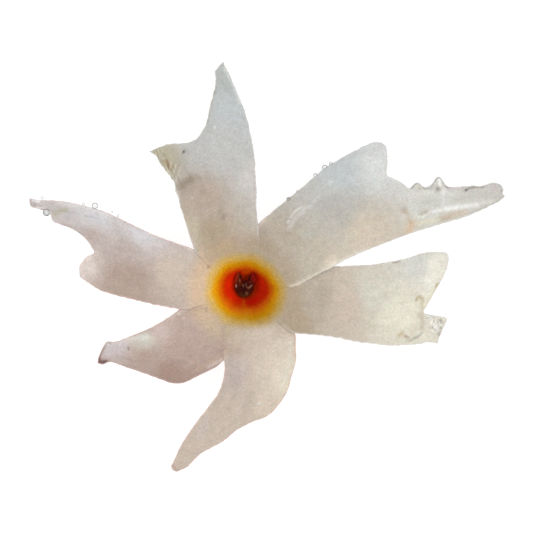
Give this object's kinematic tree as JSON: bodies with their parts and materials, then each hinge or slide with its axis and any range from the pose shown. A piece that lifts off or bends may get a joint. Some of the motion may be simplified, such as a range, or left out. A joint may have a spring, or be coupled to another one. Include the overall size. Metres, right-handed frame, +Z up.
{
  "type": "coral jasmine flower",
  "caption": "Open jasmine flower with uneven, notched white lobes layered round an orange-red throat, a short leaning orange tube below and dark stamens in its mouth.",
  "frame": {"origin": "centre of the bounding box, at its base on the surface that the flower rests on", "axes": "+Z up out of the throat, +X towards the longest forked lobe, +Y towards the upright pointed lobe"},
  "size_m": [0.0384, 0.033, 0.0075],
  "materials": {
    "lobes": "satin",
    "tube": "satin",
    "anthers": "satin"
  },
  "bodies": {
    "root": {"corolla_limb": "lobes", "corolla_tube": "tube", "stamen_left": "anthers", "stamen_right": "anthers"}
  },
  "joints": []
}
